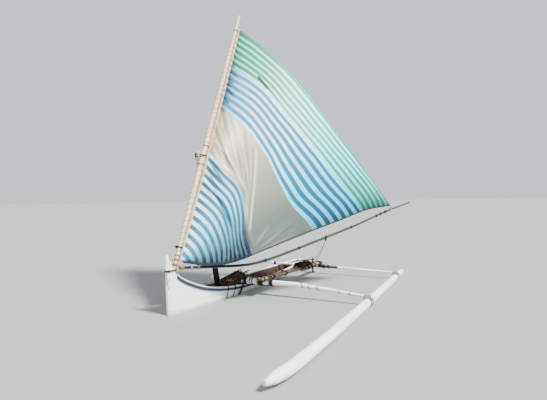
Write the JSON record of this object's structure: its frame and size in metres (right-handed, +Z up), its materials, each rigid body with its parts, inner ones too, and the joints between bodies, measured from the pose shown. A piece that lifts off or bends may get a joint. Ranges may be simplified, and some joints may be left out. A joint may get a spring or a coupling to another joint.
{
  "type": "outrigger sailing canoe",
  "caption": "Narrow planked canoe with a float carried to one side on crossbeams, a propped yard and a swinging boom with a striped triangular sail.",
  "frame": {"origin": "on the hull's centreline at the waterline, midway along the hull", "axes": "+X towards the bow, +Y to port where the float is, +Z up"},
  "size_m": [6.312, 3.1513, 5.62],
  "materials": {
    "white_paint": "weathered white paint on planking",
    "blue_paint": "dark blue paint",
    "inner_wood": "worn brown stain",
    "pale_wood": "bare weathered pole",
    "dark_wood": "dark weathered pole",
    "bamboo": "dry bamboo",
    "dark_rope": "dark twisted rope",
    "grey_rope": "grey twisted rope",
    "tan_rope": "tan rope and cloth wrap",
    "sailcloth": "thin woven striped sailcloth"
  },
  "bodies": {
    "hull": {"hull_shell": "white_paint", "gunwale_cap_port": "white_paint", "gunwale_cap_starboard": "white_paint", "rub_rail_port": "blue_paint", "rub_rail_starboard": "blue_paint", "stem_post": "white_paint", "stern_post": "white_paint", "foredeck": "white_paint", "aft_deck": "white_paint", "mast_thwart": "inner_wood", "middle_thwart": "inner_wood", "aft_thwart": "inner_wood", "rib_1": "inner_wood", "rib_2": "inner_wood", "rib_3": "inner_wood", "rib_4": "inner_wood", "rib_5": "inner_wood", "rib_6": "inner_wood", "bottom_boards": "inner_wood", "mast_step": "inner_wood", "mast": "dark_wood", "yard": "pale_wood", "mast_lashing": "dark_rope", "yard_heel_lashing": "dark_rope", "crossbeam_front": "white_paint", "crossbeam_rear": "white_paint", "float": "white_paint", "float_lashing_front": "grey_rope", "float_lashing_rear": "grey_rope", "beam_lashing_front_port": "dark_rope", "beam_lashing_front_starboard": "dark_rope", "beam_lashing_rear_port": "dark_rope", "beam_lashing_rear_starboard": "dark_rope", "side_pole_inner": "bamboo", "side_pole_outer": "bamboo", "pole_lashing_front": "dark_rope", "pole_lashing_rear": "dark_rope", "packing_sticks": "pale_wood", "rudder_lashing": "dark_rope"},
    "boom": {"boom": "dark_wood", "boom_jaw": "tan_rope", "sail": "sailcloth", "clew_tie": "tan_rope"},
    "rudder": {"rudder_stock": "dark_wood", "rudder_blade": "dark_wood", "tiller": "dark_wood"}
  },
  "joints": [
    {"name": "boom_swing", "type": "hinge", "parent": "hull", "child": "boom", "pos_m": [2.274, 0, 0.585], "axis": [-0.3996, 0, 0.9167], "range_deg": [-36, 32]},
    {"name": "rudder_turn", "type": "hinge", "parent": "hull", "child": "rudder", "pos_m": [-1.635, 0.62, 0.16], "axis": [0, 0, 1], "range_deg": [-40, 40]}
  ]
}
